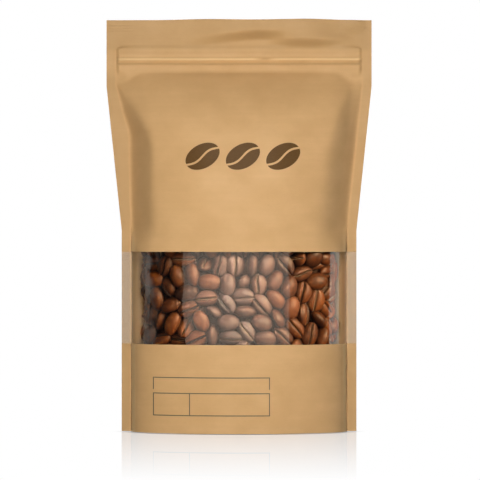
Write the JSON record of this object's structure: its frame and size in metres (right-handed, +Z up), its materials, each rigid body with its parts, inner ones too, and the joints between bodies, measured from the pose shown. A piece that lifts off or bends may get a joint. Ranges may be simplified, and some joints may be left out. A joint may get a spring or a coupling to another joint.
{
  "type": "zipper pouch of coffee beans",
  "caption": "Stand-up brown kraft-paper zipper pouch with a folded base, filled with roasted coffee beans that show through a clear film window across its front.",
  "frame": {"origin": "on the floor, midway between the side seals and between the front and back panels", "axes": "+Z up the pouch, X across it between the side seals, front with the window facing -Y"},
  "size_m": [0.14, 0.052, 0.217],
  "materials": {
    "kraft_paper": "matte brown kraft, faintly fibrous",
    "clear_film": "clear glossy film",
    "zipper_plastic": "translucent white",
    "roasted_beans": "satin dark roast"
  },
  "bodies": {
    "root": {"paper_pouch": "kraft_paper", "window_film": "clear_film", "zipper": "zipper_plastic", "bean_heap": "roasted_beans"}
  },
  "joints": []
}
